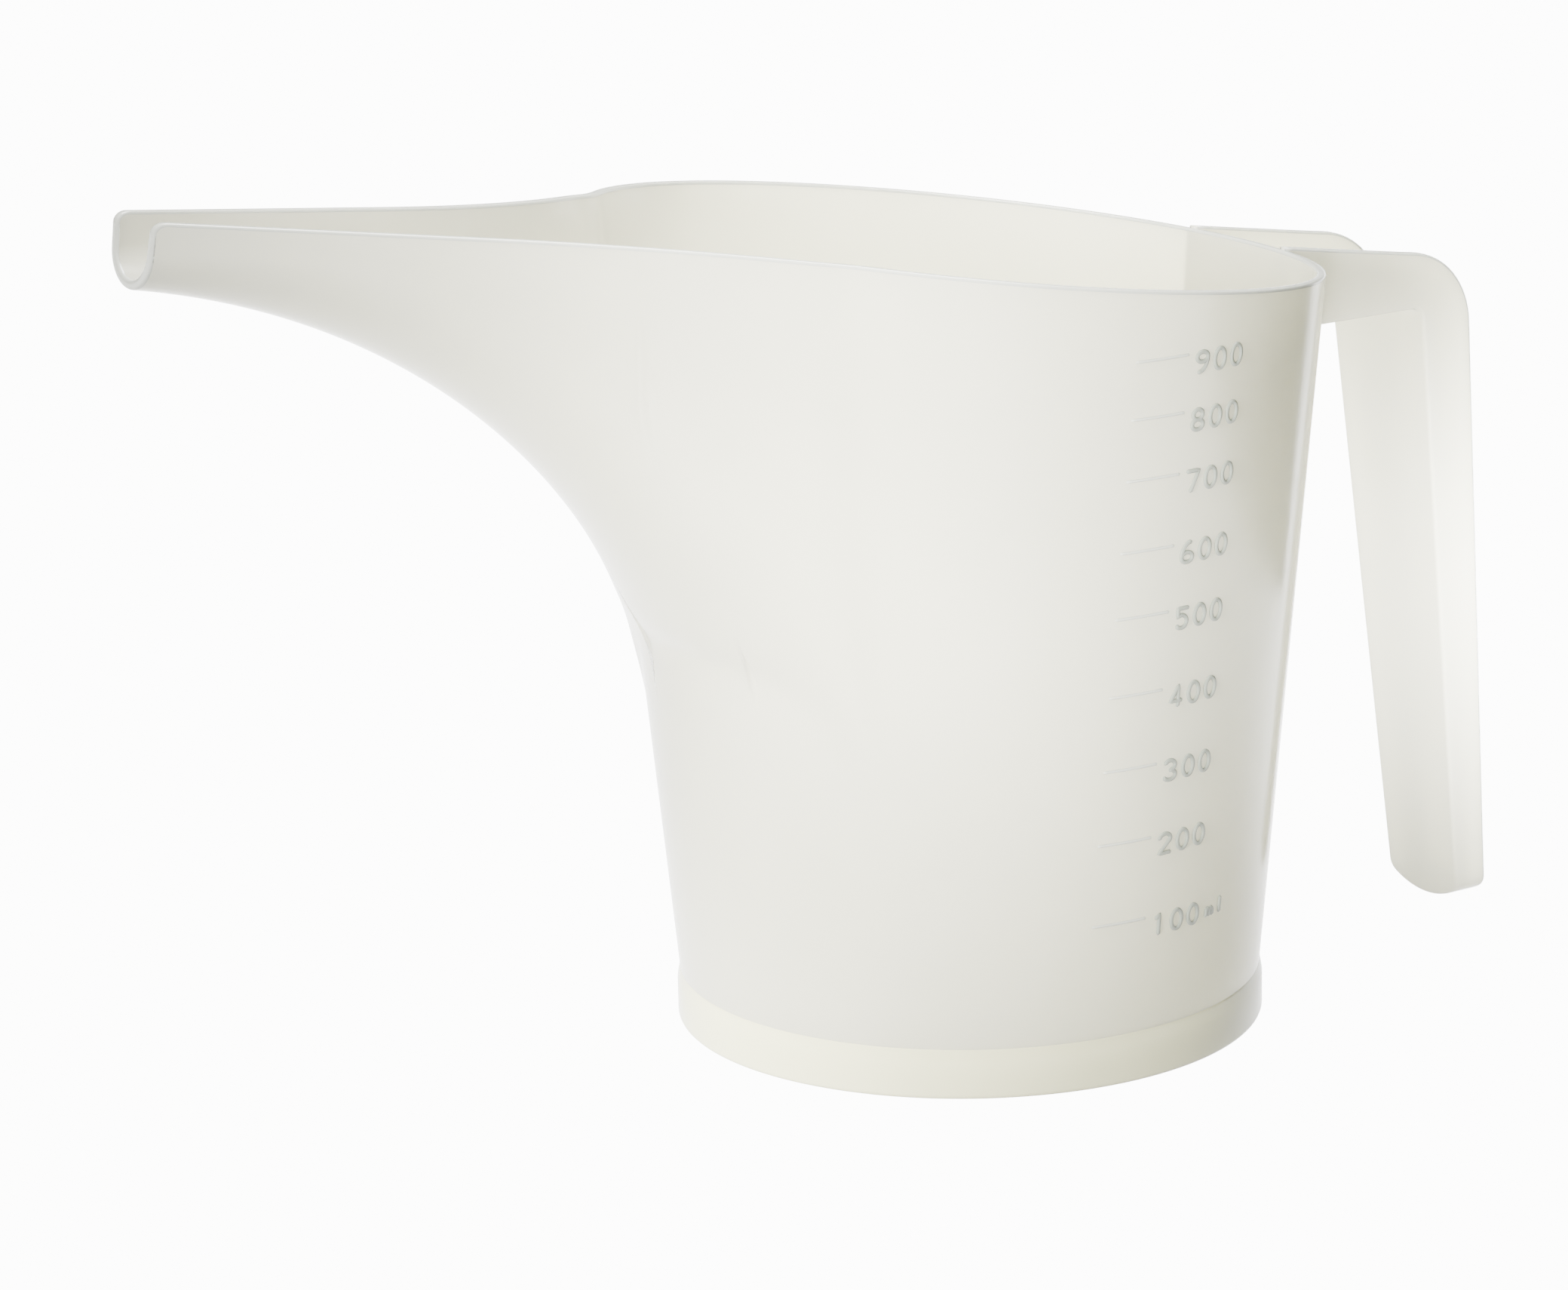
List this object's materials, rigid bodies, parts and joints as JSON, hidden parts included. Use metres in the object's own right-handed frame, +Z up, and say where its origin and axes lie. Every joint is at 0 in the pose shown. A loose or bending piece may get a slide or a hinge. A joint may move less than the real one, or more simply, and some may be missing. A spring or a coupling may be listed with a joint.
{
  "type": "funnel pitcher",
  "caption": "Translucent plastic funnel pitcher for canning: a tapered measuring cup drawn out into a long open pouring spout, with a channel handle and raised graduations.",
  "frame": {"origin": "bottom centre of the bounding box, on the surface the foot stands on; the cup's axis is 22.05 mm towards +X from it", "axes": "+Z up, +X from the spout towards the handle, +Y across; the graduations are on the -Y side"},
  "size_m": [0.2477, 0.1162, 0.1478],
  "materials": {
    "polypropylene": "satin, translucent natural polypropylene",
    "foot_polypropylene": "satin, translucent, slightly thicker and warmer than the wall",
    "relief": "raised marks, seen slightly darker than the wall"
  },
  "bodies": {
    "root": {"foot_ring": "foot_polypropylene", "cup_floor": "polypropylene", "cup_wall": "polypropylene", "spout_throat": "polypropylene", "spout_trough": "polypropylene", "handle_arm": "polypropylene", "handle_grip": "polypropylene", "graduation_lines": "relief", "graduation_numerals": "relief"}
  },
  "joints": []
}
